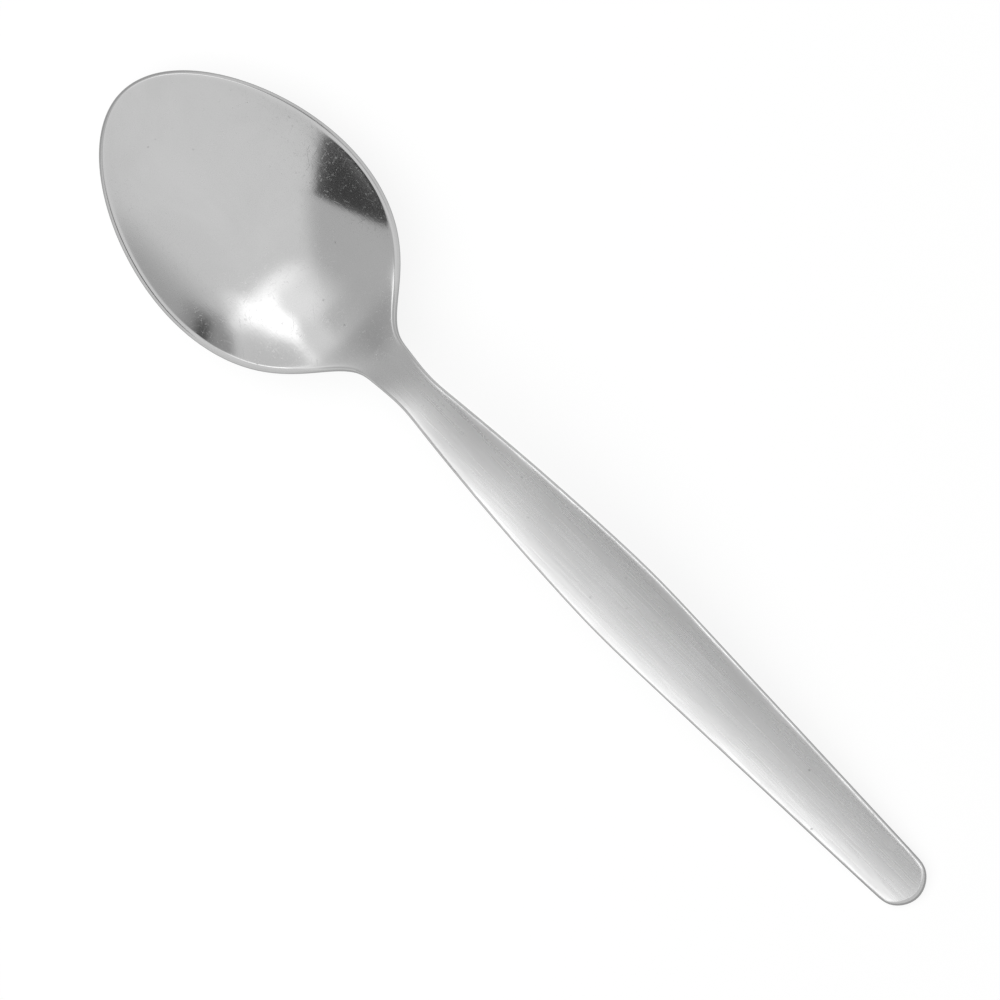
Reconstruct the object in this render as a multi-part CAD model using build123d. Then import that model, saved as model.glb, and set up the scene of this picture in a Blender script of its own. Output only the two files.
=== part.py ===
from build123d import *
import math
import os

# A teaspoon pressed from one sheet of stainless steel, lying bowl-up on a table.
# Lengths are millimetres and angles degrees. +X runs from the bowl's tip to the end of the
# handle, +Z is up, and the origin is on the table under the middle of the spoon's length.
# A station is a distance from the bowl's tip along +X. Heights are of the sheet's middle layer.

# Whole spoon
LENGTH = 135.0  # bowl tip to handle end, seen from above

# Bowl
BOWL_LENGTH = 41.6  # tip to where the egg-shaped rim would close behind the neck
BOWL_WIDTH = 29.25  # across the rim, half-way along the egg
BOWL_FULLNESS = 0.14  # share by which the egg widens towards the neck
BOWL_DEPTH = 7.2  # floor below the rim
BOWL_GAUGE = 1.0  # sheet thickness in the bowl
RIM_TILT = 5.3  # climb of the rim towards the neck

# Neck
NECK_WIDTH = 5.05  # narrowest width
NECK_FLARE = 1.55  # extra width where the neck leaves the bowl
NECK_LENGTH = 13.5  # from the end of the bowl to the start of the handle
NECK_ANGLE = 32.0  # climb of the neck out of the bowl
SHOULDER = 11.2  # half-width of the bowl where its sides start to run into the neck
HEEL = 1.7  # from the closing point of the egg to the end of the bowl
HEEL_BLEND = 5.0  # reach, each way, of the change from the bowl's floor to the neck's climb
SECTION_LEAD = 1.8  # before the closing point, where the hollow section starts to turn convex
SECTION_TURN = 12.0  # length over which it turns convex

# Handle
HANDLE_GAUGE = 1.6  # sheet thickness in the handle
HANDLE_ANGLE = 15.0  # fall of the handle at its end
ARCH_RADIUS = 520.0  # bow of the handle, seen from the side
CREST_BLEND = 11.0  # height over which the neck's climb rounds into the handle's fall
CROWN_RADIUS = 22.0  # bow of the handle's top, seen from the end
START_WIDTH = 6.3  # width that the swelling sides have where the handle starts
SWELL_WIDTH = 10.3  # width that they would reach
SWELL_SHARE = 0.513  # share of the handle's length at which they would reach it
SWELL_BLEND = 0.3  # rounding from the neck's sides into the swelling sides
TAPER_ANGLE = 2.0  # of each side, from the widest part to the end
TAPER_BLEND = 0.5  # rounding from the swelling sides into the tapering sides
END_WIDTH = 6.6  # width that the tapering sides would reach at the end
END_RADIUS = 2.95  # nose of the round end, seen from above

# Fineness of the sections that the solids run through
TIP_FLAT = 0.01  # width of the first and last slices, left off the round ends
BOWL_STEPS = 22
NECK_STEPS = 7
HANDLE_STEPS = 22
SECTION_POINTS = 9
SLOPE_STEP = 0.01

bowl_half = BOWL_LENGTH / 2
bowl_end = BOWL_LENGTH + HEEL
neck_end = bowl_end + NECK_LENGTH
turn_start = BOWL_LENGTH - SECTION_LEAD
swell_reach = SWELL_SHARE * (LENGTH - neck_end)
swell_gain = (SWELL_WIDTH - START_WIDTH) / 2

rim_slope = math.tan(math.radians(RIM_TILT))
neck_slope = math.tan(math.radians(NECK_ANGLE))
handle_slope = math.tan(math.radians(HANDLE_ANGLE))
taper_slope = math.tan(math.radians(TAPER_ANGLE))


def soft_max(first, second, reach):
    """The larger value, rounded where the two are closer than reach."""
    near = max(reach - abs(first - second), 0) / reach
    return max(first, second) + near**3 * reach / 6


def soft_min(first, second, reach):
    """The smaller value, rounded where the two are closer than reach."""
    return -soft_max(-first, -second, reach)


def ease(value, start, end):
    """0 before start, 1 after end, and smooth between."""
    share = min(max((value - start) / (end - start), 0), 1)
    return share**3 * (6 * share**2 - 15 * share + 10)


def egg(station):
    """Place along the bowl: -1 at its tip, 0 half-way and 1 where the egg closes."""
    return (station - bowl_half) / bowl_half


def egg_width(station):
    """Half-width of the egg's widening envelope, without its round ends."""
    return BOWL_WIDTH / 2 * (1 + BOWL_FULLNESS * egg(station))


def turned(station):
    """Share of the change from the bowl's hollow section to the handle's convex one."""
    return ease(station, turn_start, turn_start + SECTION_TURN)


# Plan: the outline seen from above
def handle_half_width(station):
    """Half-width of the neck and handle, before the round end."""
    place = (station - neck_end) / swell_reach - 1
    swell = SWELL_WIDTH / 2 - swell_gain * place**2
    flare = NECK_FLARE / 2 * (1 - turned(station))
    side = soft_max(NECK_WIDTH / 2, swell, SWELL_BLEND) + flare
    taper = END_WIDTH / 2 + taper_slope * (LENGTH - station)
    return soft_min(side, taper, TAPER_BLEND)


def half_width(station):
    """Half-width of the spoon. Squares are blended, so that both ends close round."""
    bowl = egg_width(station) ** 2 * (1 - egg(station) ** 2)
    if station < bowl_half:
        return math.sqrt(bowl)
    body = soft_max(bowl, handle_half_width(station) ** 2, SHOULDER**2)
    nose = 2 * END_RADIUS * (LENGTH - station)
    return math.sqrt(soft_min(body, nose, handle_half_width(LENGTH) ** 2))


# Side view: the middle line of the sheet
floor_station = bowl_half - rim_slope * bowl_half**2 / (2 * BOWL_DEPTH)
floor_drop = BOWL_DEPTH * (1 - egg(floor_station) ** 2)
tip_height = BOWL_GAUGE / 2 + floor_drop - rim_slope * floor_station
heel_station = bowl_half + (neck_slope - rim_slope) * bowl_half**2 / (2 * BOWL_DEPTH)
end_height = HANDLE_GAUGE / 2 * (math.hypot(1, handle_slope) - handle_slope)


def dish(station):
    """Floor of the bowl, hung below its tilted rim."""
    return tip_height + rim_slope * station - BOWL_DEPTH * (1 - egg(station) ** 2)


def centre_height(station):
    """Middle line: the bowl's floor, then the climb of the neck and the fall of the handle."""
    climb = dish(heel_station) + neck_slope * (station - heel_station)
    left = LENGTH - station
    fall = end_height + handle_slope * left - left**2 / (2 * ARCH_RADIUS)
    arch = soft_min(climb, fall, CREST_BLEND)
    share = ease(station, heel_station - HEEL_BLEND, heel_station + HEEL_BLEND)
    return dish(station) * (1 - share) + arch * share


# Sheet: its height and thickness everywhere
def height(station, y):
    """Middle layer: hollow across the bowl and convex across the handle."""
    share = turned(station)
    hollow = BOWL_DEPTH / egg_width(station) ** 2
    crown = -1 / (2 * CROWN_RADIUS)
    return centre_height(station) + (hollow * (1 - share) + crown * share) * y**2


def gauge(station):
    """Sheet thickness, which fades to nothing in the round edge at either end."""
    full = BOWL_GAUGE + (HANDLE_GAUGE - BOWL_GAUGE) * turned(station)
    inside = min(station, LENGTH - station, full / 2)
    return full * math.sqrt(1 - (1 - 2 * inside / full) ** 2)


def section(station):
    """Closed outline of the sheet, cut across at a station, with fully round edges."""

    def slope_along(y):
        rise = height(station + SLOPE_STEP, y) - height(station - SLOPE_STEP, y)
        return rise / (2 * SLOPE_STEP)

    def slope_across(y):
        rise = height(station, y + SLOPE_STEP) - height(station, y - SLOPE_STEP)
        return rise / (2 * SLOPE_STEP)

    def skin(y, side):
        lean = math.hypot(1, slope_across(y))
        out = side * gauge(station) / 2 * math.hypot(lean, slope_along(y)) / lean
        shift = out / lean
        place = station - LENGTH / 2
        return Vector(place, y - shift * slope_across(y), height(station, y) + shift)

    def round_edge(start, end):
        half_chord = (end - start) / 2
        outermost = start + half_chord + Vector(0, -half_chord.Z, half_chord.Y)
        return Edge.make_three_point_arc(start, outermost, end)

    outside = half_width(station)
    edge_radius = gauge(station) / 2 * math.hypot(1, slope_along(outside))
    reach = outside - edge_radius
    spots = [reach * (2 * i / (SECTION_POINTS - 1) - 1) for i in range(SECTION_POINTS)]
    upper = [skin(y, 1) for y in spots]
    lower = [skin(y, -1) for y in reversed(spots)]
    edges = [
        Edge.make_spline(upper),
        round_edge(upper[-1], lower[0]),
        Edge.make_spline(lower),
        round_edge(lower[-1], upper[0]),
    ]
    return Wire(edges)


# Pieces: each runs through its own sections and meets its neighbour at a shared one
def crowded(steps):
    """Shares from 0 to 1 that crowd together near 0, as the sections do at a round end."""
    return [1 - math.cos(math.pi / 2 * i / steps) for i in range(steps + 1)]


bowl_reach = bowl_end - TIP_FLAT
handle_reach = LENGTH - TIP_FLAT - neck_end
stations = {
    "bowl": [TIP_FLAT + bowl_reach * share for share in crowded(BOWL_STEPS)],
    "neck": [bowl_end + NECK_LENGTH * i / NECK_STEPS for i in range(NECK_STEPS + 1)],
    "handle": [LENGTH - TIP_FLAT - handle_reach * share for share in reversed(crowded(HANDLE_STEPS))],
}

os.makedirs("parts", exist_ok=True)
for name, places in stations.items():
    piece = Solid.make_loft([section(station) for station in places])
    piece.label = name
    export_step(piece, f"parts/{name}.step")
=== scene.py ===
import logging
import math
from dataclasses import dataclass, field
from enum import Enum

import bpy
import numpy as np
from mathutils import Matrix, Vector


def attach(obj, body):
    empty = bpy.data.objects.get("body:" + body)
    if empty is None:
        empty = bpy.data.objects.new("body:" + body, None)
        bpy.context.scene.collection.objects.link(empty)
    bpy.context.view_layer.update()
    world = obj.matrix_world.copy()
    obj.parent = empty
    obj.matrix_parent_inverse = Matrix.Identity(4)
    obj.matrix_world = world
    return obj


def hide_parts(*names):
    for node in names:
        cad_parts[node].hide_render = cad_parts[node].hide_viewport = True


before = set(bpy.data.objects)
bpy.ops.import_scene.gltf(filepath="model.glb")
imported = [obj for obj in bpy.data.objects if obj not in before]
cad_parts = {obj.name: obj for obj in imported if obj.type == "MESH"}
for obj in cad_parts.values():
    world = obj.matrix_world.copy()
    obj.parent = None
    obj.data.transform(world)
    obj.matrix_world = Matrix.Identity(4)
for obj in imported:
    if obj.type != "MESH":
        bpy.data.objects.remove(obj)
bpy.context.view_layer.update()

log = logging.getLogger("teaspoon")

MM = 0.001
BODY = "root"
WHITE = (1.0, 1.0, 1.0, 1.0)
PLAN_ANGLE = math.radians(45.35)  # turn of the spoon in the picture, from level

Array = np.ndarray
Shape = bpy.types.Object
Socket = bpy.types.NodeSocket
Pair = tuple[float, float]
Triple = tuple[float, float, float]


class Region(Enum):
    """Regions of the stamped sheet, named as the CAD nodes that they stand for."""

    BOWL = "bowl"
    NECK = "neck"
    HANDLE = "handle"


class RayKind(Enum):
    """Kinds of light ray that the floor and the room tell apart."""

    CAMERA = "Is Camera Ray"
    GLOSSY = "Is Glossy Ray"
    TRANSMISSION = "Is Transmission Ray"


def soft_max(first: Array, second: Array, reach: float) -> Array:
    """The larger value, rounded where the two are closer than reach."""
    near = np.maximum(reach - np.abs(first - second), 0.0) / reach
    return np.maximum(first, second) + near**3 * reach / 6


def soft_min(first: Array, second: Array, reach: float) -> Array:
    """The smaller value, rounded where the two are closer than reach."""
    return -soft_max(-first, -second, reach)


def ease(value: Array, start: float, end: float) -> Array:
    """0 before start, 1 after end, and smooth between."""
    share = np.clip((value - start) / (end - start), 0.0, 1.0)
    return share**3 * (6 * share**2 - 15 * share + 10)


def slope_of(degrees: float) -> float:
    """Rise over run of an angle in degrees."""
    return math.tan(math.radians(degrees))


@dataclass(frozen=True)
class SpoonForm:
    """Form of the spoon, with the sizes and formulas of the CAD part, in metres and degrees.

    A station is a distance from the bowl's tip along +X. Heights are of the sheet's middle layer.
    """

    length: float = 135.0 * MM
    bowl_length: float = 41.6 * MM
    bowl_width: float = 29.25 * MM
    bowl_fullness: float = 0.14
    bowl_depth: float = 7.2 * MM
    bowl_gauge: float = 1.0 * MM
    rim_tilt: float = 5.3
    neck_width: float = 5.05 * MM
    neck_flare: float = 1.55 * MM
    neck_length: float = 13.5 * MM
    neck_angle: float = 32.0
    shoulder: float = 11.2 * MM
    heel: float = 1.7 * MM
    heel_blend: float = 5.0 * MM
    section_lead: float = 1.8 * MM
    section_turn: float = 12.0 * MM
    handle_gauge: float = 1.6 * MM
    handle_angle: float = 15.0
    arch_radius: float = 520.0 * MM
    crest_blend: float = 11.0 * MM
    crown_radius: float = 22.0 * MM
    start_width: float = 6.3 * MM
    swell_width: float = 10.3 * MM
    swell_share: float = 0.513
    swell_blend: float = 0.3 * MM
    taper_angle: float = 2.0
    taper_blend: float = 0.5 * MM
    end_width: float = 6.6 * MM
    end_radius: float = 2.95 * MM
    slope_step: float = 0.02 * MM

    @property
    def bowl_end(self) -> float:
        """Station where the bowl meets the neck."""
        return self.bowl_length + self.heel

    @property
    def neck_end(self) -> float:
        """Station where the neck meets the handle."""
        return self.bowl_end + self.neck_length

    def egg(self, station: Array) -> Array:
        """Place along the bowl: -1 at its tip, 0 half-way and 1 where the egg closes."""
        return 2 * station / self.bowl_length - 1

    def egg_width(self, station: Array) -> Array:
        """Half-width of the egg's widening envelope, without its round ends."""
        return self.bowl_width / 2 * (1 + self.bowl_fullness * self.egg(station))

    def handle_half_width(self, station: Array) -> Array:
        """Half-width of the neck and handle, before the round end.

        Args:
            station: distances from the bowl's tip.

        Returns:
            The half-widths.
        """
        reach = self.swell_share * (self.length - self.neck_end)
        place = (station - self.neck_end) / reach - 1
        swell = self.swell_width / 2 - (self.swell_width - self.start_width) / 2 * place**2
        flare = self.neck_flare / 2 * (1 - self.turned(station))
        side = soft_max(self.neck_width / 2, swell, self.swell_blend) + flare
        taper = self.end_width / 2 + slope_of(self.taper_angle) * (self.length - station)
        return soft_min(side, taper, self.taper_blend)

    def half_width(self, station: Array) -> Array:
        """Half-width of the spoon, seen from above.

        Args:
            station: distances from the bowl's tip.

        Returns:
            The half-widths, which close round at both ends.
        """
        bowl = self.egg_width(station) ** 2 * (1 - self.egg(station) ** 2)
        body = soft_max(bowl, self.handle_half_width(station) ** 2, self.shoulder**2)
        nose = 2 * self.end_radius * (self.length - station)
        end = float(self.handle_half_width(np.array(self.length))) ** 2
        square = np.where(self.egg(station) < 0, bowl, soft_min(body, nose, end))
        return np.sqrt(np.maximum(square, 0.0))

    def dish(self, station: Array) -> Array:
        """Floor of the bowl, hung below its tilted rim.

        Args:
            station: distances from the bowl's tip.

        Returns:
            The heights above the table.
        """
        half = self.bowl_length / 2
        rise = slope_of(self.rim_tilt)
        low = half - rise * half**2 / (2 * self.bowl_depth)
        drop = self.bowl_depth * (1 - self.egg(low) ** 2)
        tip = self.bowl_gauge / 2 + drop - rise * low
        return tip + rise * station - self.bowl_depth * (1 - self.egg(station) ** 2)

    def centre_height(self, station: Array) -> Array:
        """Middle line: the bowl's floor, then the neck's climb and the handle's fall.

        Args:
            station: distances from the bowl's tip.

        Returns:
            The heights above the table.
        """
        half = self.bowl_length / 2
        climb_slope = slope_of(self.neck_angle)
        fall_slope = slope_of(self.handle_angle)
        heel = half + (climb_slope - slope_of(self.rim_tilt)) * half**2 / (2 * self.bowl_depth)
        climb = self.dish(heel) + climb_slope * (station - heel)
        left = self.length - station
        end = self.handle_gauge / 2 * (math.hypot(1, fall_slope) - fall_slope)
        fall = end + fall_slope * left - left**2 / (2 * self.arch_radius)
        arch = soft_min(climb, fall, self.crest_blend)
        share = ease(station, heel - self.heel_blend, heel + self.heel_blend)
        return self.dish(station) * (1 - share) + arch * share

    def turned(self, station: Array) -> Array:
        """Share of the change from the bowl's hollow section to the handle's convex one."""
        start = self.bowl_length - self.section_lead
        return ease(station, start, start + self.section_turn)

    def height(self, station: Array, across: Array) -> Array:
        """Height of the sheet's middle layer.

        Args:
            station: distances from the bowl's tip.
            across: distances from the spoon's long axis.

        Returns:
            The heights above the table.
        """
        share = self.turned(station)
        hollow = self.bowl_depth / self.egg_width(station) ** 2
        crown = -1 / (2 * self.crown_radius)
        return self.centre_height(station) + (hollow * (1 - share) + crown * share) * across**2

    def facing(self, station: Array, across: Array) -> Array:
        """Upward directions square to the sheet.

        Args:
            station: distances from the bowl's tip.
            across: distances from the spoon's long axis.

        Returns:
            The directions, one row each.
        """
        step = self.slope_step
        along_rise = self.height(station + step, across) - self.height(station - step, across)
        across_rise = self.height(station, across + step) - self.height(station, across - step)
        square = np.stack([-along_rise, -across_rise, np.full(len(station), 2 * step)], -1)
        return square / np.linalg.norm(square, axis=1, keepdims=True)

    def gauge(self, station: Array) -> Array:
        """Thickness of the sheet."""
        return self.bowl_gauge + (self.handle_gauge - self.bowl_gauge) * self.turned(station)


@dataclass
class Outline:
    """One side of the spoon's outline, seen from above, as points by length along it."""

    form: SpoonForm
    fineness: int = 8000
    points: Array = field(init=False)
    outward: Array = field(init=False)
    lengths: Array = field(init=False)

    def __post_init__(self) -> None:
        """Works out the points, their outward directions and the lengths along the side."""
        turn = np.linspace(0.0, math.pi, self.fineness + 1)
        stations = self.form.length * (1 - np.cos(turn)) / 2
        self.points = np.stack([stations, self.form.half_width(stations)], -1)
        steps = np.gradient(self.points, turn, axis=0)
        steps[0] = (0.0, 1.0)
        steps[-1] = (0.0, -1.0)
        steps /= np.linalg.norm(steps, axis=1, keepdims=True)
        self.outward = np.stack([-steps[:, 1], steps[:, 0]], -1)
        runs = np.linalg.norm(np.diff(self.points, axis=0), axis=1)
        self.lengths = np.concatenate([[0.0], np.cumsum(runs)])

    def at(self, along: Array, values: Array) -> Array:
        """Values of the table at lengths along the side."""
        return np.stack([np.interp(along, self.lengths, column) for column in values.T], -1)

    def spaced(self, spacing: Array) -> Array:
        """Lengths along the side that are about a given spacing apart.

        Args:
            spacing: wished spacing at each point of the table.

        Returns:
            The lengths, from the bowl's tip to the end of the handle.
        """
        runs = np.diff(self.lengths)
        counts = np.concatenate([[0.0], np.cumsum(2 * runs / (spacing[1:] + spacing[:-1]))])
        total = int(round(counts[-1]))
        return np.interp(np.linspace(0.0, counts[-1], total + 1), counts, self.lengths)


class Hands:
    """Small modelling moves that the pieces share."""

    @staticmethod
    def clear() -> None:
        """Leaves edit mode and deselects everything."""
        if bpy.context.object is not None and bpy.context.object.mode != "OBJECT":
            bpy.ops.object.mode_set(mode="OBJECT")
        bpy.ops.object.select_all(action="DESELECT")

    @staticmethod
    def take(piece: Shape) -> None:
        """Makes a piece the only selected and active object.

        Args:
            piece: the object.
        """
        Hands.clear()
        piece.select_set(True)
        bpy.context.view_layer.objects.active = piece

    @staticmethod
    def edit(piece: Shape, kind: str = "EDGE") -> None:
        """Opens a piece for editing, with nothing selected.

        Args:
            piece: the object.
            kind: what can be selected.
        """
        Hands.take(piece)
        bpy.ops.object.mode_set(mode="EDIT")
        bpy.ops.mesh.select_mode(type=kind)
        bpy.ops.mesh.select_all(action="DESELECT")

    @staticmethod
    def finish(piece: Shape, kind: str, **settings: object) -> None:
        """Adds a modifier with its settings and applies it.

        Args:
            piece: the object that gets it.
            kind: the modifier's type.
            settings: values of the modifier's fields.
        """
        Hands.take(piece)
        modifier = piece.modifiers.new(kind.title(), kind)
        for name, value in settings.items():
            setattr(modifier, name, value)
        bpy.ops.object.modifier_apply(modifier=modifier.name)

    @staticmethod
    def grid(name: str, rows: int, columns: int) -> tuple[Shape, Array, Array]:
        """Adds a flat grid.

        Args:
            name: the object's name.
            rows: steps along it.
            columns: steps across it.

        Returns:
            The grid, and the row and column of each of its points.
        """
        Hands.clear()
        bpy.ops.mesh.primitive_grid_add(x_subdivisions=rows, y_subdivisions=columns, size=2.0)
        grid = bpy.context.object
        grid.name = name
        share = (Hands.points(grid) + 1) / 2
        row = np.rint(share[:, 0] * rows).astype(int)
        return grid, row, np.rint(share[:, 1] * columns).astype(int)

    @staticmethod
    def read(
        items: bpy.types.bpy_prop_collection, name: str, width: int = 1, kind: type = np.float32
    ) -> Array:
        """Reads one field of a mesh's points, edges, faces or corners.

        Args:
            items: the points, edges, faces or corners.
            name: the field.
            width: how many numbers it holds.
            kind: the type of these.

        Returns:
            The field's values, a row for each item if it holds several.
        """
        flat = np.empty(len(items) * width, kind)
        items.foreach_get(name, flat)
        return flat.reshape(-1, width) if width > 1 else flat

    @staticmethod
    def store(mesh: bpy.types.Mesh, name: str, values: Array, domain: str = "POINT") -> None:
        """Stores a number with each point or edge of a mesh."""
        stored = mesh.attributes.new(name, "FLOAT", domain)
        stored.data.foreach_set("value", values.astype(np.float32))

    @staticmethod
    def points(piece: Shape) -> Array:
        """Positions of a piece's vertices, one row each."""
        return Hands.read(piece.data.vertices, "co", 3).astype(float)

    @staticmethod
    def place(piece: Shape, points: Array) -> None:
        """Moves a piece's vertices to the given positions."""
        piece.data.vertices.foreach_set("co", points.astype(np.float32).ravel())
        piece.data.update()


@dataclass(frozen=True)
class Blank:
    """The whole stamped sheet: a grid shaped to the outline, pressed to its form and thickened."""

    form: SpoonForm
    columns: int = 24
    bowl_spacing: float = 0.56 * MM
    handle_spacing: float = 0.60 * MM
    end_spacing: float = 0.27 * MM
    end_reach: float = 9.0 * MM
    rim_ring: float = 0.85 * MM  # width of the ring of faces beside the edge
    tip_fade: float = 26.0 * MM  # how far the rows bulge with the tip, and with the handle's end
    end_fade: float = 9.0 * MM
    bowl_round: float = 0.30 * MM  # radii of the rim's upper corner
    handle_round: float = 0.55 * MM
    end_round: float = 1.0 * MM
    nose: float = 3.0 * MM
    under_share: float = 0.8  # radius of the lower corner, as a share of the upper one's
    corner_gap: float = 0.06 * MM
    corner_angle: float = 60.0
    round_steps: int = 4
    clearance: float = 0.02 * MM
    lean_step: float = 0.05 * MM

    def edge_round(self, station: Array) -> Array:
        """Radius of the rim's upper corner.

        Args:
            station: distances from the bowl's tip.

        Returns:
            The radii.
        """
        handle = self.form.turned(station)
        nose = ease(station, self.form.length - self.nose, self.form.length)
        side = self.bowl_round + (self.handle_round - self.bowl_round) * handle
        return side + (self.end_round - side) * nose

    def under_round(self, station: Array) -> Array:
        """Radius of the rim's lower corner, which the upper one leaves room for."""
        upper = self.edge_round(station)
        return np.minimum(self.under_share * upper, self.form.gauge(station) - upper - self.corner_gap)

    def rim_reach(self, points: Array, outward: Array) -> Array:
        """How far the thick rim stands out past the middle layer's edge, seen from above.

        Args:
            points: places on the outline.
            outward: directions away from the spoon there.

        Returns:
            The reach at each place.
        """
        inner = points - 2 * self.lean_step * outward
        outer = points - self.lean_step * outward
        rise = self.form.height(outer[:, 0], outer[:, 1]) - self.form.height(inner[:, 0], inner[:, 1])
        lean = np.arctan(np.abs(rise) / self.lean_step)
        gauge = self.form.gauge(points[:, 0])
        radius = self.edge_round(points[:, 0])
        return (gauge / 2 - radius) * np.sin(lean) + radius * (1 - np.cos(lean))

    def plan(self) -> tuple[Array, Array]:
        """Sets out the sheet, seen from above.

        Returns:
            The edge of the middle layer on the +Y side, and the same number of points of the
            inner grid's edge beside it.
        """
        outline = Outline(self.form)
        stations = outline.points[:, 0]
        spacing = self.bowl_spacing + (self.handle_spacing - self.bowl_spacing) * self.form.turned(stations)
        near_end = ease(outline.lengths, outline.lengths[-1] - self.end_reach, outline.lengths[-1])
        spacing = spacing + (self.end_spacing - spacing) * near_end**0.5
        along = outline.spaced(spacing)
        points = outline.at(along, outline.points)
        outward = outline.at(along, outline.outward)
        outward /= np.linalg.norm(outward, axis=1, keepdims=True)
        reach = self.rim_reach(points, outward)[:, None] + self.clearance
        return points - reach * outward, points - (reach + self.rim_ring) * outward

    def grid_points(self, inner: Array) -> Array:
        """Places of the inner grid's points, by row and column.

        Args:
            inner: the grid's edge on the +Y side, from the tip to the handle's end.

        Returns:
            An array of rows by columns by (station, across).
        """
        half = self.columns // 2
        side = inner[half:len(inner) - half]
        rows = len(side) - 1
        fold = np.abs(np.arange(self.columns + 1) - half)
        sign = np.sign(np.arange(self.columns + 1) - half)
        tip = inner[fold]
        end = inner[len(inner) - 1 - fold]
        tip_across = sign * tip[:, 1] / side[0, 1]
        end_across = sign * end[:, 1] / side[-1, 1]
        tip_bulge = side[0, 0] - tip[:, 0]
        end_bulge = end[:, 0] - side[-1, 0]
        station = side[:, :1]
        tip_share = 1 - ease(station, side[0, 0], side[0, 0] + self.tip_fade)
        end_share = ease(station, side[-1, 0] - self.end_fade, side[-1, 0])
        blend = ease(np.arange(rows + 1)[:, None] / rows, 0.0, 1.0)
        across = side[:, 1:] * (tip_across * (1 - blend) + end_across * blend)
        return np.stack([station - tip_bulge * tip_share + end_bulge * end_share, across], -1)

    def build(self) -> Shape:
        """Models the sheet.

        Returns:
            The finished blank, one closed mesh.
        """
        edge, inner = self.plan()
        places = self.grid_points(inner)
        blank, row, column = Hands.grid("blank", len(places) - 1, self.columns)
        Hands.place(blank, np.concatenate([places[row, column], np.zeros((len(row), 1))], 1))
        self.add_rim(blank, edge, inner)
        self.press(blank)
        self.thicken(blank)
        self.round_rim(blank)
        return blank

    def add_rim(self, blank: Shape, edge: Array, inner: Array) -> None:
        """Extrudes the grid's edge outwards to the edge of the middle layer.

        Args:
            blank: the flat grid.
            edge: the middle layer's edge on the +Y side.
            inner: the grid's edge on the +Y side, point for point.
        """
        Hands.edit(blank)
        bpy.ops.mesh.select_non_manifold()
        bpy.ops.mesh.extrude_edges_move()
        bpy.ops.object.mode_set(mode="OBJECT")
        points = Hands.points(blank)
        chosen = Hands.read(blank.data.vertices, "select", kind=bool)
        for place in np.flatnonzero(chosen):
            station, across = points[place, :2]
            gap = np.hypot(inner[:, 0] - station, inner[:, 1] - abs(across))
            nearest = int(np.argmin(gap))
            points[place, :2] = edge[nearest, 0], math.copysign(edge[nearest, 1], across)
        Hands.place(blank, points)

    def press(self, blank: Shape) -> None:
        """Presses the flat sheet to the spoon's form and moves it to the CAD frame.

        Args:
            blank: the flat sheet, which also gets its thickness as weights.
        """
        points = Hands.points(blank)
        points[:, 2] = self.form.height(points[:, 0], points[:, 1])
        thickness = self.form.gauge(points[:, 0]) / self.form.handle_gauge
        points[:, 0] -= self.form.length / 2
        Hands.place(blank, points)
        group = blank.vertex_groups.new(name="gauge")
        for index, weight in enumerate(thickness):
            group.add([index], float(weight), "REPLACE")

    def thicken(self, blank: Shape) -> None:
        """Gives the sheet its thickness.

        Args:
            blank: the pressed sheet.
        """
        settings = {"offset": 0.0, "use_even_offset": True, "use_quality_normals": True}
        thickness = self.form.handle_gauge
        Hands.finish(blank, "SOLIDIFY", thickness=thickness, vertex_group="gauge", **settings)
        Hands.edit(blank)
        bpy.ops.mesh.select_all(action="SELECT")
        bpy.ops.mesh.normals_make_consistent(inside=False)
        bpy.ops.object.mode_set(mode="OBJECT")

    def round_rim(self, blank: Shape) -> None:
        """Rounds the upper and lower corner of the rim and smooths the sheet.

        Args:
            blank: the thick sheet.
        """
        Hands.edit(blank)
        bpy.ops.mesh.edges_select_sharp(sharpness=math.radians(self.corner_angle))
        bpy.ops.object.mode_set(mode="OBJECT")
        edges = blank.data.edges
        chosen = Hands.read(edges, "select", kind=bool)
        middle = Hands.points(blank)[Hands.read(edges, "vertices", 2, np.int32)].mean(1)
        station = middle[:, 0] + self.form.length / 2
        upper = middle[:, 2] > self.form.height(station, middle[:, 1])
        radius = np.where(upper, self.edge_round(station), self.under_round(station))
        Hands.store(blank.data, "bevel_weight_edge", chosen * radius / self.end_round, "EDGE")
        settings = {"limit_method": "WEIGHT", "use_clamp_overlap": False}
        Hands.finish(blank, "BEVEL", width=self.end_round, segments=self.round_steps, **settings)
        Hands.finish(blank, "SUBSURF", levels=1, render_levels=1)
        Hands.take(blank)
        bpy.ops.object.shade_smooth()


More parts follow.
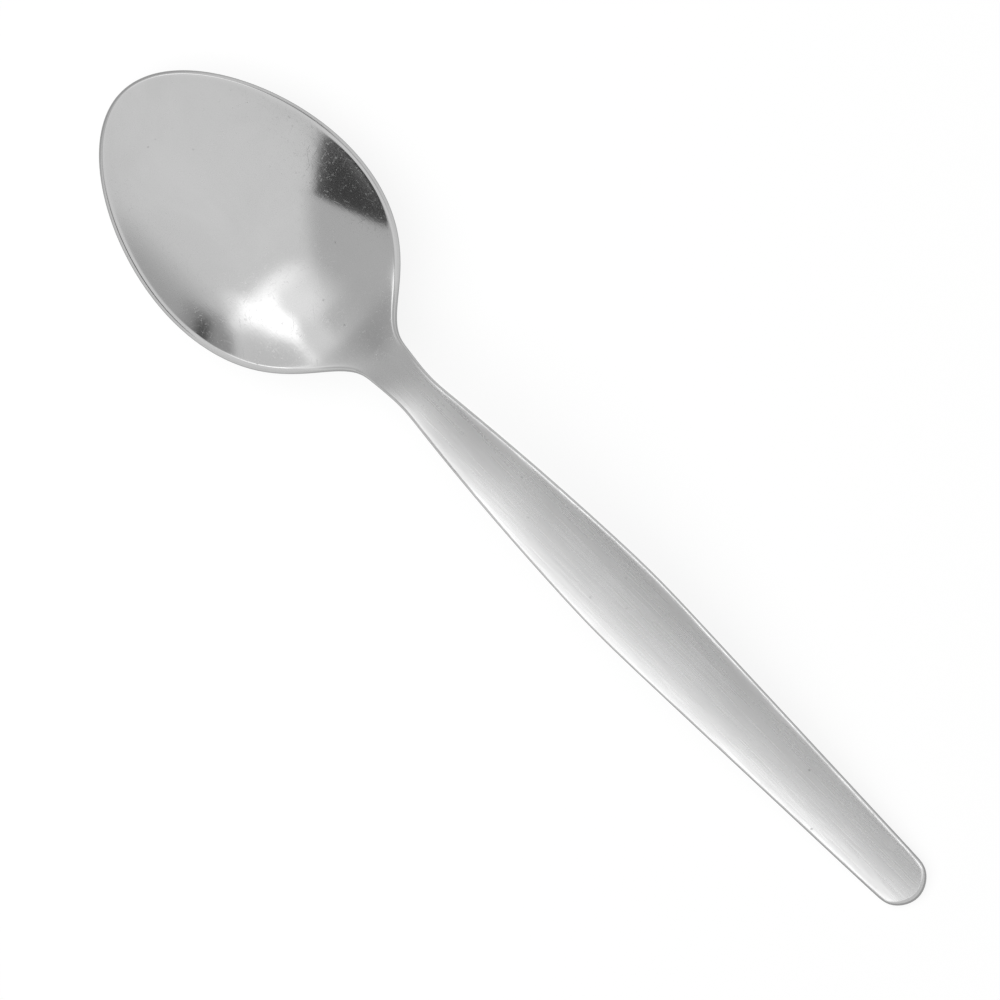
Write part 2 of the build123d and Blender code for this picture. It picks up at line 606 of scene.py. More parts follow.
@dataclass
class SpoonPiece:
    """One region of the spoon, cut from the blank at the flat cuts of the CAD nodes."""

    region: Region
    start: float
    end: float
    slot: str
    cut_reach: float = 0.1 * MM  # open edges this close to a cut are its own
    cut_facing: float = 0.99  # least X of the direction that a filled cut faces
    shape: Shape | None = None

    def build(self, blank: Shape) -> None:
        """Cuts the region out of a copy of the blank, closes its cuts and keeps its smooth shading.

        Args:
            blank: the whole sheet, already divided along the cuts, with its normals stored.
        """
        Hands.clear()
        self.shape = blank.copy()
        self.shape.data = blank.data.copy()
        self.shape.name = f"{self.region.value}_steel_skin"
        bpy.context.scene.collection.objects.link(self.shape)
        Hands.edit(self.shape, "FACE")
        bpy.ops.object.mode_set(mode="OBJECT")
        faces = self.shape.data.polygons
        place = Hands.read(faces, "center", 3)[:, 0]
        faces.foreach_set("select", (place < self.start) | (place > self.end))
        bpy.ops.object.mode_set(mode="EDIT")
        bpy.ops.mesh.delete(type="FACE")
        for cut in (self.start, self.end):
            self.close_cut(cut)
        self.keep_normals()

    def close_cut(self, cut: float) -> None:
        """Fills the flat opening that a cut leaves, if the piece has one there.

        Args:
            cut: the cut's place along X.
        """
        Hands.edit(self.shape)
        bpy.ops.mesh.select_non_manifold()
        bpy.ops.object.mode_set(mode="OBJECT")
        points = Hands.points(self.shape)
        found = False
        for edge in self.shape.data.edges:
            on_cut = abs(points[edge.vertices[0], 0] - cut) < self.cut_reach
            edge.select = edge.select and bool(on_cut)
            found = found or edge.select
        bpy.ops.object.mode_set(mode="EDIT")
        if found:
            bpy.ops.mesh.edge_face_add()
        bpy.ops.object.mode_set(mode="OBJECT")

    def keep_normals(self) -> None:
        """Shades the skin with the blank's own normals, so that no line shows at a cut."""
        mesh = self.shape.data
        stored = mesh.attributes["skin_normal"]
        corners = Hands.read(mesh.loops, "vertex_index", kind=np.int32)
        normals = Hands.read(stored.data, "vector", 3)[corners]
        for face in mesh.polygons:
            if len(face.vertices) > 4 and abs(face.normal.x) > self.cut_facing:
                normals[face.loop_start:face.loop_start + face.loop_total] = face.normal
        mesh.normals_split_custom_set(normals)
        mesh.attributes.remove(mesh.attributes["skin_normal"])

    def dress(self, material: bpy.types.Material) -> None:
        """Gives the piece its steel and hangs it on the CAD body in place of its node.

        Args:
            material: the steel.
        """
        self.shape.data.materials.clear()
        self.shape.data.materials.append(material)
        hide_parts(self.region.value)
        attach(self.shape, BODY)
        log.info("%s: %d faces", self.shape.name, len(self.shape.data.polygons))


@dataclass(frozen=True)
class Spoon:
    """The whole spoon: a blank, and the pieces cut from it."""

    form: SpoonForm = SpoonForm()
    edge_facing: Pair = (0.90, 0.99)  # lean of the skin over which its rounded edge comes in

    def build(self) -> list[SpoonPiece]:
        """Models the blank and cuts it into the three regions.

        Returns:
            The pieces, from the bowl to the handle.
        """
        blank = Blank(self.form).build()
        middle = self.form.length / 2
        cuts = (self.form.bowl_end - middle, self.form.neck_end - middle)
        self.divide(blank, cuts)
        pieces = [
            SpoonPiece(Region.BOWL, -self.form.length, cuts[0], "bowl_steel"),
            SpoonPiece(Region.NECK, cuts[0], cuts[1], "handle_steel"),
            SpoonPiece(Region.HANDLE, cuts[1], self.form.length, "handle_steel"),
        ]
        for piece in pieces:
            piece.build(blank)
        bpy.data.objects.remove(blank)
        return pieces

    def divide(self, blank: Shape, cuts: Pair) -> None:
        """Adds the edges of the cuts to the blank, stores its normals and lays it out across and along.

        Args:
            blank: the finished sheet.
            cuts: the cuts' places along X.
        """
        Hands.edit(blank)
        for cut in cuts:
            bpy.ops.mesh.select_all(action="SELECT")
            bpy.ops.mesh.bisect(plane_co=(cut, 0.0, 0.0), plane_no=(1.0, 0.0, 0.0))
        bpy.ops.object.mode_set(mode="OBJECT")
        mesh = blank.data
        normals = Hands.read(mesh.vertex_normals, "vector", 3)
        stored = mesh.attributes.new("skin_normal", "FLOAT_VECTOR", "POINT")
        stored.data.foreach_set("vector", normals.ravel())
        points = Hands.points(blank)
        station = points[:, 0] + self.form.length / 2
        facing = np.abs((normals * self.form.facing(station, points[:, 1])).sum(1))
        Hands.store(mesh, "edge", 1 - ease(facing, *self.edge_facing))
        while mesh.uv_layers:
            mesh.uv_layers.remove(mesh.uv_layers[0])
        corners = Hands.read(mesh.loops, "vertex_index", kind=np.int32)
        layout = points[corners][:, (1, 0)] / self.form.length + 0.5
        mesh.uv_layers.new(name="across").uv.foreach_set("vector", layout.astype(np.float32).ravel())


@dataclass(frozen=True)
class Grain:
    """Looks of a noise texture, and the span of its values over which its mark comes in."""

    scale: float = 1.0
    detail: float = 2.0
    roughness: float = 0.5
    distortion: float = 0.0
    span: Pair | None = None


class Wiring:
    """Adds nodes to one node tree and joins them."""

    def __init__(self, tree: bpy.types.NodeTree) -> None:
        """Starts on an empty tree."""
        self.tree = tree
        tree.nodes.clear()

    @staticmethod
    def material(name: str) -> tuple[bpy.types.Material, "Wiring"]:
        """Makes a node material.

        Args:
            name: the material's name.

        Returns:
            The material and the wiring of its empty tree.
        """
        material = bpy.data.materials.new(name)
        material.use_nodes = True
        return material, Wiring(material.node_tree)

    def node(self, kind: str, inputs: dict | None = None, **settings: object) -> bpy.types.Node:
        """Adds a node.

        Args:
            kind: the node's type, without its shader prefix.
            inputs: values or sockets for its inputs, by name or number.
            settings: values of the node's own fields.

        Returns:
            The node.
        """
        node = self.tree.nodes.new(kind if kind.startswith("NodeGroup") else f"ShaderNode{kind}")
        for name, value in settings.items():
            setattr(node, name, value)
        for name, value in (inputs or {}).items():
            self.feed(node.inputs[name], value)
        return node

    def feed(self, socket: Socket, value: object) -> None:
        """Joins a socket to an input, or sets the input's value.

        Args:
            socket: the input.
            value: a socket, or a plain value.
        """
        if isinstance(value, Socket):
            self.tree.links.new(value, socket)
        else:
            socket.default_value = value

    def math(self, operation: str, *values: object) -> Socket:
        """Result of one sum on numbers."""
        return self.node("Math", dict(enumerate(values)), operation=operation).outputs[0]

    def vector(self, operation: str, *values: object, result: str = "Vector") -> Socket:
        """Result of one sum on vectors."""
        return self.node("VectorMath", dict(enumerate(values)), operation=operation).outputs[result]

    def scaled(self, vector: object, factor: object) -> Socket:
        """A vector times a number."""
        return self.node("VectorMath", {0: vector, "Scale": factor}, operation="SCALE").outputs["Vector"]

    def turned(self, vector: object, angle: float) -> Socket:
        """A vector turned about +Z."""
        inputs = {"Vector": vector, "Angle": angle}
        return self.node("VectorRotate", inputs, rotation_type="Z_AXIS").outputs[0]

    def attribute(self, name: str) -> Socket:
        """A number stored on the mesh."""
        return self.node("Attribute", attribute_name=name).outputs["Fac"]

    def blend(self, share: object, low: object, high: object) -> Socket:
        """A number between low and high."""
        gap = self.math("SUBTRACT", high, low)
        return self.math("MULTIPLY_ADD", share, gap, low)

    def steps(
        self, value: object, start: float, end: float, low: float = 0.0, high: float = 1.0
    ) -> Socket:
        """A number that goes smoothly from low, before start, to high, after end."""
        inputs = {"Value": value, "From Min": start, "From Max": end, "To Min": low, "To Max": high}
        return self.node("MapRange", inputs, interpolation_type="SMOOTHSTEP").outputs["Result"]

    def noise(self, place: Socket, grain: Grain, flat: bool = False) -> Socket:
        """Reads a noise texture.

        Args:
            place: where it is read.
            grain: its looks.
            flat: whether it has two dimensions, not three.

        Returns:
            The noise, or the mark that the grain's span makes of it.
        """
        inputs = {"Vector": place, "Scale": grain.scale, "Detail": grain.detail}
        inputs |= {"Roughness": grain.roughness, "Distortion": grain.distortion}
        noise = self.node("TexNoise", inputs, noise_dimensions="2D" if flat else "3D").outputs[0]
        return self.steps(noise, *grain.span) if grain.span else noise


@dataclass(frozen=True)
class EffectGroup:
    """A shader node group, built once and placed in each finish."""

    name: str
    inputs: dict[str, str]
    outputs: tuple[str, ...]

    def start(self) -> tuple[bpy.types.NodeTree, Wiring, bpy.types.NodeOutputs]:
        """Makes the group with its sockets.

        Returns:
            The group, its wiring and the sockets that give its inputs.
        """
        tree = bpy.data.node_groups.new(self.name, "ShaderNodeTree")
        for name, kind in self.inputs.items():
            tree.interface.new_socket(name, in_out="INPUT", socket_type=kind)
        for name in self.outputs:
            tree.interface.new_socket(name, in_out="OUTPUT", socket_type="NodeSocketFloat")
        wiring = Wiring(tree)
        return tree, wiring, wiring.node("NodeGroupInput").outputs

    def close(self, wiring: Wiring, *values: Socket) -> None:
        """Joins the group's results to its outputs."""
        wiring.node("NodeGroupOutput", dict(zip(self.outputs, values)))


@dataclass
class SteelEffects:
    """Marks of making and use that the two steel finishes share.

    A run of hair scratches is its turn, and its waves in a metre across and along.
    """

    lines: Grain = Grain(detail=4.0, roughness=0.62, span=(0.28, 0.72))
    waves: Grain = Grain(detail=3.0, roughness=0.6)
    wave_stretch: Triple = (3.0, 0.3, 1.0)
    smudges: Grain = Grain(95.0, 5.0, 0.6, 0.4, (0.3, 0.72))
    hairs: Grain = Grain(detail=1.0, span=(0.74, 0.80))
    hair_runs: tuple[Triple, ...] = (
        (0.3, 3000.0, 260.0),
        (1.25, 2600.0, 300.0),
        (2.2, 3400.0, 220.0),
        (2.85, 2800.0, 340.0),
    )
    pit_cells: float = 760.0  # in a metre, of which a few hold a pit
    pit_chance: Pair = (0.90, 1.0)
    pit_span: Pair = (0.05, 0.17)
    pit_ragged: float = 0.25 * MM
    pit_waves: float = 4200.0
    specks: Grain = Grain(2700.0, 2.0, 0.6, 1.2, (0.56, 0.74))
    peel: Grain = Grain(1150.0, 3.0, 0.55)
    brushing: bpy.types.NodeTree = field(init=False)
    wear: bpy.types.NodeTree = field(init=False)

    def __post_init__(self) -> None:
        """Builds the groups."""
        self.brushing = self.build_brushing()
        self.wear = self.build_wear()

    def build_brushing(self) -> bpy.types.NodeTree:
        """Polishing lines along the spoon, fine ones and broader waves.

        Returns:
            A group with each as a value from 0 to 1.
        """
        inputs = {"Place": "NodeSocketVector", "Across": "NodeSocketFloat", "Along": "NodeSocketFloat"}
        group = EffectGroup("polishing_lines", inputs, ("Lines", "Waves"))
        tree, wiring, given = group.start()
        stretch = wiring.node("CombineXYZ", {"X": given["Along"], "Y": given["Across"]}).outputs["Vector"]
        place = wiring.vector("MULTIPLY", given["Place"], stretch)
        broad = wiring.vector("MULTIPLY", place, self.wave_stretch)
        group.close(wiring, wiring.noise(place, self.lines, True), wiring.noise(broad, self.waves, True))
        return tree

    def build_wear(self) -> bpy.types.NodeTree:
        """Marks of use and of the press: smudges, hair scratches, pits, specks and an uneven polish.

        Returns:
            A group with each as a value from 0 to 1.
        """
        outputs = ("Smudges", "Scratches", "Pits", "Specks", "Peel")
        group = EffectGroup("marks_of_use", {"Place": "NodeSocketVector"}, outputs)
        tree, wiring, given = group.start()
        place = given["Place"]
        grains = (self.smudges, self.specks, self.peel)
        smudges, specks, peel = (wiring.noise(place, grain) for grain in grains)
        scratches = 0.0
        for turn, across, along in self.hair_runs:
            stretched = wiring.vector("MULTIPLY", wiring.turned(place, turn), (across, along, 0.0))
            scratches = wiring.math("MAXIMUM", scratches, wiring.noise(stretched, self.hairs, True))
        ragged = wiring.node("TexNoise", {"Vector": place, "Scale": self.pit_waves}).outputs["Color"]
        pushed = wiring.vector("ADD", place, wiring.scaled(ragged, self.pit_ragged))
        cells = wiring.node("TexVoronoi", {"Vector": pushed, "Scale": self.pit_cells}).outputs
        chance = wiring.node("SeparateColor", {"Color": cells["Color"]}).outputs[0]
        near = wiring.steps(cells["Distance"], *self.pit_span, 1.0, 0.0)
        pits = wiring.math("MULTIPLY", near, wiring.steps(chance, *self.pit_chance))
        group.close(wiring, smudges, scratches, pits, specks, peel)
        return tree


@dataclass(frozen=True)
class Mark:
    """How much one mark of making or use adds to the steel's roughness, height and shade."""

    rough: float = 0.0
    height: float = 0.0
    shade: float = 0.0


@dataclass(frozen=True)
class SteelFinish:
    """Stainless steel, polished in the bowl and satin along the handle.

    Both slots share the change from one to the other, so that no line shows where they meet.
    """

    name: str
    form: SpoonForm
    effects: SteelEffects
    stretch: float = 0.0  # of reflections, across the spoon
    colour: Triple = (0.585, 0.585, 0.585)
    polished: float = 0.11  # roughness in the bowl, and along the handle
    satin: float = 0.24
    satin_start: float = 42.0 * MM
    satin_end: float = 50.0 * MM
    lines_across: float = 3400.0  # waves of the polishing lines in a metre
    lines_along: float = 55.0
    bowl_streaks: float = 0.15  # share of the handle's streaks that the bowl has
    satin_specks: float = 0.3  # shares of the bowl's marks that the handle has
    satin_scratches: float = 0.5
    relief: float = 0.0035 * MM  # of a mark with a height of 1
    smudges: Mark = Mark(rough=0.03, shade=-0.05)
    streaks: Mark = Mark(rough=0.06, height=1.4, shade=-0.03)
    pits: Mark = Mark(rough=0.2, height=-1.5, shade=-0.3)
    specks: Mark = Mark(rough=0.17)
    scratches: Mark = Mark(rough=0.05, height=-0.3)
    waves: Mark = Mark(height=9.0)
    peel: Mark = Mark(height=0.9)

    def marks(self, wiring: Wiring, place: Socket, satin: Socket) -> list[tuple[Socket, Mark]]:
        """Places the shared effects in the material.

        Args:
            wiring: the material's wiring.
            place: where the effects are read.
            satin: 0 in the bowl and 1 along the handle.

        Returns:
            The effects over the surface, each with what it does to the steel.
        """
        inputs = {"Place": place, "Across": self.lines_across, "Along": self.lines_along}
        lines = wiring.node("Group", inputs, node_tree=self.effects.brushing).outputs
        wear = wiring.node("Group", {"Place": place}, node_tree=self.effects.wear).outputs
        few_streaks = wiring.blend(satin, self.bowl_streaks, 1.0)
        few_specks = wiring.blend(satin, 1.0, self.satin_specks)
        few_scratches = wiring.blend(satin, 1.0, self.satin_scratches)
        return [
            (wear["Smudges"], self.smudges),
            (wiring.math("MULTIPLY", lines["Lines"], few_streaks), self.streaks),
            (wear["Pits"], self.pits),
            (wiring.math("MULTIPLY", wear["Specks"], few_specks), self.specks),
            (wiring.math("MULTIPLY", wear["Scratches"], few_scratches), self.scratches),
            (wiring.math("MULTIPLY", lines["Waves"], satin), self.waves),
            (wear["Peel"], self.peel),
        ]

    def material(self) -> bpy.types.Material:
        """Builds the material.

        Returns:
            A node material for one of the record's slots.
        """
        material, wiring = Wiring.material(self.name)
        place = wiring.node("TexCoord").outputs["Object"]
        along = wiring.node("SeparateXYZ", {"Vector": place}).outputs["X"]
        middle = self.form.length / 2
        satin = wiring.steps(along, self.satin_start - middle, self.satin_end - middle)
        face = wiring.math("SUBTRACT", 1.0, wiring.attribute("edge"))
        rough = wiring.blend(wiring.math("MULTIPLY", satin, face), self.polished, self.satin)
        height, shade = 0.0, 1.0
        for value, mark in self.marks(wiring, place, satin):
            rough = wiring.math("MULTIPLY_ADD", value, mark.rough, rough)
            height = wiring.math("MULTIPLY_ADD", value, mark.height, height)
            shade = wiring.math("MULTIPLY_ADD", value, mark.shade, shade)
        bump = wiring.node("Bump", {"Strength": 1.0, "Distance": self.relief, "Height": height})
        looks = {
            "Base Color": wiring.scaled(self.colour, shade),
            "Metallic": 1.0,
            "Roughness": rough,
            "Normal": bump.outputs["Normal"],
            "Anisotropic": self.stretch,
        }
        shader = wiring.node("BsdfPrincipled", looks)
        if self.stretch:
            across = wiring.node("Tangent", direction_type="UV_MAP", uv_map="across")
            wiring.feed(shader.inputs["Tangent"], across.outputs["Tangent"])
        wiring.node("OutputMaterial", {"Surface": shader.outputs["BSDF"]})
        return material


@dataclass(frozen=True)
class RoomPatch:
    """A lighter or darker part of the room, bounded by straight edges on a chart of the sky.

    The chart's middle is straight up, and a degree of lean is a unit in every direction. Each edge
    is the bearing that it faces, its reach that way and half the width of its soft border. Bearings
    are angles in the picture, 0 to the right and 90 up.
    """

    light: float
    edges: tuple[Triple, ...]

    def mask(self, wiring: Wiring, chart: Socket) -> Socket:
        """Marks the patch on the chart.

        Args:
            wiring: the room's wiring.
            chart: places on the chart.

        Returns:
            A mask that is 1 inside the patch.
        """
        mask = 1.0
        for bearing, reach, soft in self.edges:
            turn = math.radians(bearing)
            facing = (math.cos(turn), math.sin(turn), 0.0)
            out = wiring.vector("DOT_PRODUCT", chart, facing, result="Value")
            mask = wiring.math("MULTIPLY", mask, wiring.steps(out, reach - soft, reach + soft, 1.0, 0.0))
        return mask


@dataclass(frozen=True)
class HandleTent:
    """A narrow half-round tent that hangs close above the neck and handle, for them alone to mirror.

    Its lights are places across the handle, as shares of its half-width, and the light that the
    steel mirrors there. Places past 1 are for the rounded edges. The throat lights are angles across
    the tent where the bowl runs into the neck, and the end lights angles past the handle's end.
    """

    form: SpoonForm
    reach: float = 9.0 * MM
    sight: float = 16.0 * MM  # longest ray that sees it
    steepest: float = 88.0  # half its angle across
    rows: int = 90
    end_rows: int = 30
    columns: int = 96
    start: float = 38.0 * MM
    cover_end: float = 41.0 * MM
    side_start: float = 45.0  # angle at which its sides thin out over the throat
    side_end: float = 65.0
    throat_lights: tuple[Pair, ...] = (
        (-30.0, 1.2), (-13.0, 0.85), (-7.0, 0.66), (0.0, 0.48), (8.0, 0.54),
        (16.0, 0.6), (19.0, 1.7), (34.0, 1.7), (40.0, 0.6),
    )
    throat_start: float = 42.0 * MM
    throat_end: float = 45.5 * MM
    neck_light: float = 0.64
    neck_start: float = 45.0 * MM
    neck_end: float = 53.0 * MM
    lights: tuple[Pair, ...] = (
        (-1.6, 0.85), (-1.5, 1.9), (-1.0, 1.9), (-0.8, 1.50), (-0.55, 1.09), (-0.2, 1.02), (0.1, 0.92),
        (0.5, 0.745), (0.8, 0.53), (1.0, 0.30), (1.12, 0.24), (1.18, 2.1), (1.45, 2.1), (1.55, 0.85),
    )
    least_lean: float = 0.05  # of the handle's edge, in radians
    plain_light: float = 0.95
    narrow_gain: float = 0.4  # growth of lights past the plain one where the handle is narrow
    neck_dim: float = 0.85
    dim_start: float = 54.0 * MM
    dim_end: float = 68.0 * MM
    end_lights: tuple[Pair, ...] = ((0.0, 0.0), (4.0, 1.5), (14.0, 1.5), (20.0, 0.85), (60.0, 0.85))
    side_light: float = 0.9  # most that a ray sees that crosses the tent slantwise
    slant_start: float = 1.5 * MM
    slant_end: float = 3.5 * MM

    def places(self, station: Array, lean: Array) -> Array:
        """Finds where the steel mirrors the tent to an eye above.

        Args:
            station: the rows' stations.
            lean: the columns' angles.

        Returns:
            Places across the handle, as shares of its half-width, by row and column.
        """
        edge = self.form.handle_half_width(station)
        swing = 2 * np.arcsin(self.form.facing(station, edge)[:, 1])
        edge_lean = np.maximum(swing + np.arcsin(edge * np.cos(swing) / self.reach), self.least_lean)[:, None]
        beyond = np.maximum(np.abs(lean) - edge_lean, 0.0)
        return np.clip(lean / edge_lean, -1.0, 1.0) + np.sign(lean) * beyond / edge_lean.max()

    def handle_light(self, station: Array, past: Array, place: Array) -> Array:
        """Light above the handle, with a dimmer start and a lit end.

        Args:
            station: the rows' stations.
            past: the rows' angles past the handle's end.
            place: places across the handle, by row and column.

        Returns:
            The light by row and column.
        """
        edge = self.form.handle_half_width(station)
        light = np.interp(place, *np.array(self.lights).T)
        narrow = self.narrow_gain * (edge.max() / edge - 1)[:, None]
        light += narrow * np.maximum(light - self.plain_light, 0.0)
        full = ease(station, self.dim_start, self.dim_end)[:, None]
        light *= self.neck_dim + (1 - self.neck_dim) * full
        turns, levels = np.array(self.end_lights).T
        at_end = ease(past, 0.0, turns[1])[:, None]
        return light * (1 - at_end) + np.interp(past, turns, levels)[:, None] * at_end

    def build(self) -> None:
        """Hangs the tent, which only mirrored rays from close by see."""
        form = self.form
        turns = np.linspace(0.0, self.end_lights[-1][0], self.end_rows + 1)
        past = np.concatenate([np.zeros(self.rows), turns])
        along = np.linspace(self.start, form.length, self.rows + 1)
        station = np.concatenate([along, np.full(self.end_rows, form.length)])
        lean = np.radians(np.linspace(-self.steepest, self.steepest, self.columns + 1))
        place = self.places(station, lean)
        on_neck = ease(station, self.throat_start, self.throat_end)[:, None]
        on_handle = ease(station, self.neck_start, self.neck_end)[:, None]
        throat = np.interp(np.degrees(lean), *np.array(self.throat_lights).T)
        neck = throat * (1 - on_neck) + self.neck_light * on_neck
        light = neck * (1 - on_handle) + self.handle_light(station, past, place) * on_handle
        sides = ease(np.abs(np.degrees(lean)), self.side_start, self.side_end)
        cover = ease(station, self.start, self.cover_end)[:, None] * (1 - (1 - on_neck) * sides)
        seat = np.clip(place, -1.0, 1.0) * form.handle_half_width(station)[:, None]
        straight = np.hypot(self.reach * np.sin(lean) - seat, self.reach * np.cos(lean))
        tent, row, column = Hands.grid("handle_tent", len(station) - 1, self.columns)
        facing = form.facing(station, np.zeros(len(station)))
        heading = 2 * np.arctan2(facing[:, 0], facing[:, 2]) + np.radians(past)
        base = form.centre_height(station) + form.gauge(station) / 2
        out = self.reach * np.cos(lean[column])
        placed = [
            station[row] - form.length / 2 + out * np.sin(heading[row]),
            self.reach * np.sin(lean[column]),
            base[row] + out * np.cos(heading[row]),
        ]
        Hands.place(tent, np.stack(placed, -1))
        for name, values in (("light", light), ("cover", cover), ("straight", straight)):
            Hands.store(tent.data, name, values[row, column])
        tent.visible_camera = False
        tent.visible_diffuse = False
        tent.visible_shadow = False
        tent.data.materials.append(self.material())

    def material(self) -> bpy.types.Material:
        """Builds the tent's glow.

        Returns:
            A material that is clear to rays from far away and calm to slanting ones.
        """
        material, wiring = Wiring.material("tent_glow")
        material.cycles.emission_sampling = "NONE"
        length = wiring.node("LightPath").outputs["Ray Length"]
        close = wiring.math("LESS_THAN", length, self.sight)
        light = wiring.attribute("light")
        extra = wiring.math("SUBTRACT", length, wiring.attribute("straight"))
        slant = wiring.steps(extra, self.slant_start, self.slant_end)
        strength = wiring.blend(slant, light, wiring.math("MINIMUM", light, self.side_light))
        glow = wiring.node("Emission", {"Color": WHITE, "Strength": strength}).outputs["Emission"]
        clear = wiring.node("BsdfTransparent").outputs["BSDF"]
        share = wiring.math("MULTIPLY", close, wiring.attribute("cover"))
        mix = wiring.node("MixShader", {"Fac": share, 1: clear, 2: glow})
        wiring.node("OutputMaterial", {"Surface": mix.outputs["Shader"]})
        return material


@dataclass(frozen=True)
class Studio:
    """Pale floor and an even pale room, with the few lights and darks that the bowl mirrors.

    Leans are degrees from straight up. The room dims from overhead to the dim lean, and has one
    light all round from the horizon down.
    """

    form: SpoonForm
    overhead: float = 0.965
    dimming: float = 0.05
    dim_lean: float = 84.0
    horizon: float = 1.0
    horizon_start: float = 86.0
    horizon_end: float = 91.0
    patches: tuple[RoomPatch, ...] = (
        RoomPatch(0.66, ((-11.3, -46.6, 5.0), (-90.0, 24.0, 3.0))),
        RoomPatch(0.85, ((-90.0, -70.0, 4.0), (180.0, 32.0, 6.0), (0.0, 12.0, 6.0))),
        RoomPatch(0.56, ((-123.0, -71.5, 13.0), (147.0, 17.0, 5.0), (-33.0, 45.0, 12.0))),
        RoomPatch(0.42, ((-100.0, -68.8, 3.0), (180.0, -18.0, 4.0), (0.0, 46.0, 4.0))),
        RoomPatch(0.08, ((62.0, 84.0, 3.0), (-100.0, -71.5, 2.5), (152.0, 5.5, 2.5), (-28.0, 2.5, 2.5))),
        RoomPatch(1.26, ((-52.0, -41.0, 3.5), (135.0, 64.0, 3.5), (-137.0, 6.0, 20.0), (92.0, 67.0, 3.5))),
        RoomPatch(1.06, ((-90.0, -56.0, 3.0), (92.0, 67.0, 3.0), (0.0, -18.0, 4.0))),
        RoomPatch(1.20, ((-90.0, -55.5, 3.0), (73.0, 64.7, 3.0), (0.0, 20.5, 5.0), (180.0, 0.0, 5.0))),
        RoomPatch(1.62, ((-52.0, -41.5, 3.5), (128.0, 46.8, 4.5), (-137.0, 0.0, 14.0), (92.0, 67.0, 3.5))),
        RoomPatch(1.95, ((-52.0, -44.7, 3.5), (180.0, 14.5, 4.5), (90.0, 64.5, 3.0))),
        RoomPatch(2.0, ((84.0, 64.5, 3.0), (-90.0, -56.0, 2.5), (180.0, 23.5, 2.5), (0.0, 10.0, 5.0))),
        RoomPatch(0.07, ((-13.5, -48.2, 1.5), (64.8, -42.3, 1.5), (200.0, 84.5, 2.0))),
    )
    floor_size: float = 6.0
    floor_drop: float = 0.05 * MM
    floor_colour: tuple[float, float, float, float] = (0.9, 0.9, 0.9, 1.0)
    floor_glow: float = 0.885  # share of plain white near the spoon
    shadow_reach: float = 60.0 * MM
    white_reach: float = 110.0 * MM
    near_glow: float = 0.45  # floor's light in the steel, close to it and further off; the dimmer light close by is painted shade beneath the spoon
    far_glow: float = 0.88
    near_ray: float = 8.0 * MM
    far_ray: float = 40.0 * MM
    lamp_power: float = 7.0
    lamp_size: float = 0.70
    lamp_place: Triple = (-0.17, -0.15, 0.60)

    def build(self) -> None:
        """Sets up the room, the floor, the lamp and the tent."""
        self.build_room()
        self.build_floor()
        self.build_lamp()
        HandleTent(self.form).build()

    def build_room(self) -> None:
        """White to the camera, and the charted room to the steel. The floor is left to the lamp."""
        world = bpy.data.worlds.new("studio_room")
        bpy.context.scene.world = world
        world.use_nodes = True
        world.cycles_visibility.diffuse = False
        wiring = Wiring(world.node_tree)
        way = wiring.turned(wiring.node("TexCoord").outputs["Generated"], -PLAN_ANGLE)
        rise = wiring.node("SeparateXYZ", {"Vector": way}).outputs["Z"]
        lean = wiring.math("DEGREES", wiring.math("ARCCOSINE", rise))
        heading = wiring.vector("NORMALIZE", wiring.vector("MULTIPLY", way, (1.0, 1.0, 0.0)))
        chart = wiring.scaled(heading, lean)
        share = wiring.math("POWER", wiring.math("DIVIDE", lean, self.dim_lean), 2.0)
        light = wiring.math("MULTIPLY_ADD", share, -self.dimming, self.overhead)
        low = wiring.steps(lean, self.horizon_start, self.horizon_end)
        light = wiring.blend(low, light, self.horizon)
        for patch in self.patches:
            light = wiring.blend(patch.mask(wiring, chart), light, patch.light)
        seen = wiring.node("LightPath").outputs[RayKind.CAMERA.value]
        strength = wiring.blend(seen, light, 1.0)
        background = wiring.node("Background", {"Color": WHITE, "Strength": strength})
        wiring.node("OutputWorld", {"Surface": background.outputs["Background"]})

    def build_floor(self) -> None:
        """A white floor that keeps a faint shadow near the spoon. In the steel it shows dimmer close by, as
        painted shade beneath the spoon.
        """
        Hands.clear()
        bpy.ops.mesh.primitive_plane_add(size=self.floor_size, location=(0.0, 0.0, -self.floor_drop))
        floor = bpy.context.object
        floor.name = "floor"
        material, wiring = Wiring.material("floor_white")
        path = wiring.node("LightPath").outputs
        seen = path[RayKind.CAMERA.value]
        mirrored = wiring.math("MAXIMUM", path[RayKind.GLOSSY.value], path[RayKind.TRANSMISSION.value])
        away = wiring.vector("LENGTH", wiring.node("TexCoord").outputs["Object"], result="Value")
        plain = wiring.steps(away, self.shadow_reach, self.white_reach, self.floor_glow, 1.0)
        share = wiring.math("MULTIPLY", wiring.math("MAXIMUM", seen, mirrored), plain)
        # Mirrored rays that reach the floor close by see it dimmer: painted shade beneath the spoon.
        far = wiring.steps(path["Ray Length"], self.near_ray, self.far_ray, self.near_glow, self.far_glow)
        strength = wiring.blend(mirrored, 1.0, far)
        matt = wiring.node("BsdfDiffuse", {"Color": self.floor_colour}).outputs["BSDF"]
        glow = wiring.node("Emission", {"Color": WHITE, "Strength": strength}).outputs["Emission"]
        mix = wiring.node("MixShader", {"Fac": share, 1: matt, 2: glow})
        wiring.node("OutputMaterial", {"Surface": mix.outputs["Shader"]})
        floor.data.materials.append(material)

    def build_lamp(self) -> None:
        """A soft lamp on the -Y side, which lights the floor and casts the faint shadow."""
        data = bpy.data.lights.new("soft_lamp", "AREA")
        data.energy = self.lamp_power
        data.size = self.lamp_size
        lamp = bpy.data.objects.new("soft_lamp", data)
        bpy.context.scene.collection.objects.link(lamp)
        lamp.location = self.lamp_place
        lamp.rotation_euler = Vector(self.lamp_place).to_track_quat("Z", "Y").to_euler()
        lamp.visible_glossy = False


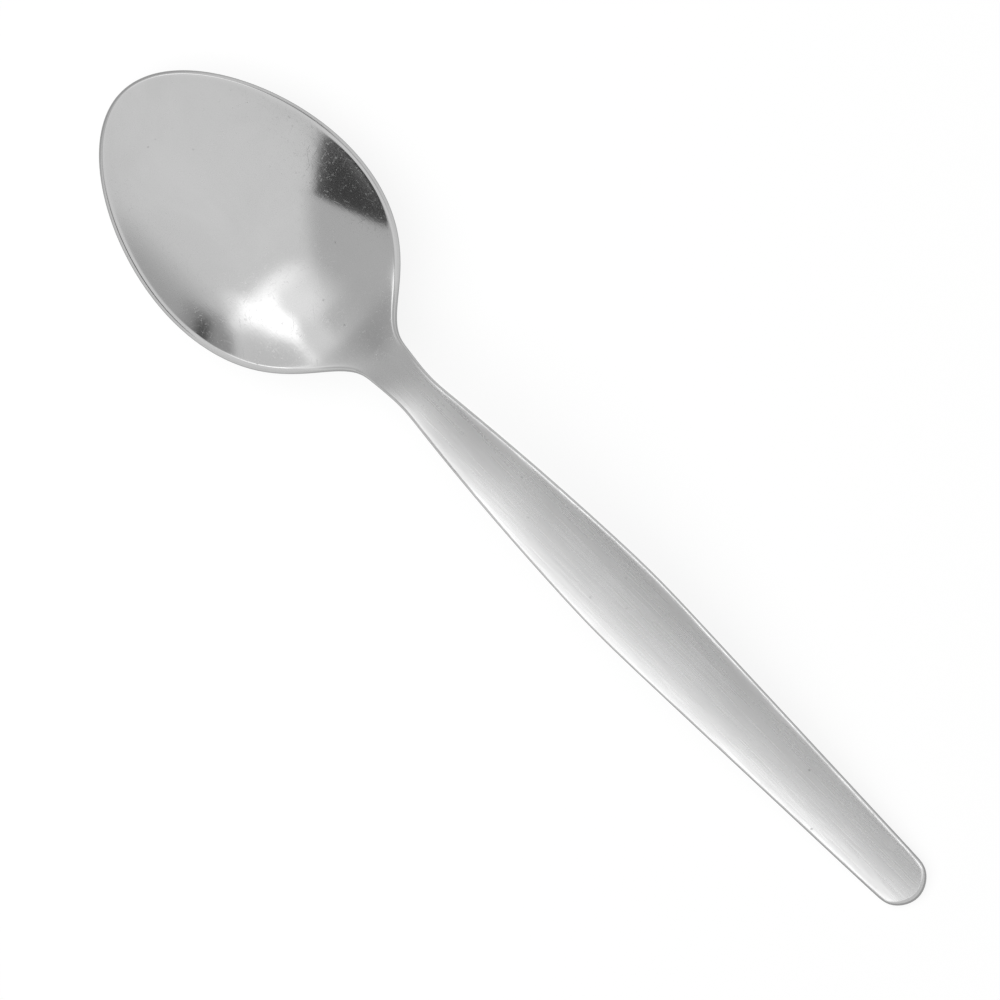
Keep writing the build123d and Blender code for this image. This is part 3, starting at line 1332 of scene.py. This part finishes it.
@dataclass(frozen=True)
class PhotoCamera:
    """Camera straight above the spoon, a little to its +Y side, turned as in the picture."""

    aim: Triple = (-1.38 * MM, -2.03 * MM, 7.0 * MM)
    width: float = 118.6 * MM  # of the picture, at the spoon
    lens: float = 300.0
    sensor: float = 36.0
    side_lean: float = 1.3
    sight: float = 10.0

    def build(self) -> None:
        """Makes the camera and gives it to the scene."""
        data = bpy.data.cameras.new("photo_camera")
        data.lens = self.lens
        data.sensor_width = self.sensor
        data.clip_end = self.sight
        camera = bpy.data.objects.new("photo_camera", data)
        bpy.context.scene.collection.objects.link(camera)
        lean = math.radians(self.side_lean)
        back = Vector((0.0, math.sin(lean), math.cos(lean)))
        distance = self.width * self.lens / self.sensor
        camera.location = Vector(self.aim) + back * distance
        camera.rotation_euler = (-lean * math.cos(PLAN_ANGLE), lean * math.sin(PLAN_ANGLE), PLAN_ANGLE)
        bpy.context.scene.camera = camera


def main() -> None:
    """Builds the spoon, its steel and the studio."""
    logging.basicConfig(level=logging.INFO, format="%(name)s: %(message)s")
    spoon = Spoon()
    effects = SteelEffects()
    steels = {
        "bowl_steel": SteelFinish("polished_bowl_steel", spoon.form, effects).material(),
        "handle_steel": SteelFinish("satin_handle_steel", spoon.form, effects, stretch=0.85).material(),
    }
    for piece in spoon.build():
        piece.dress(steels[piece.slot])
    Studio(spoon.form).build()
    PhotoCamera().build()
    bpy.context.scene.view_settings.view_transform = "Standard"
    Hands.clear()


if __name__ == "__main__":
    main()
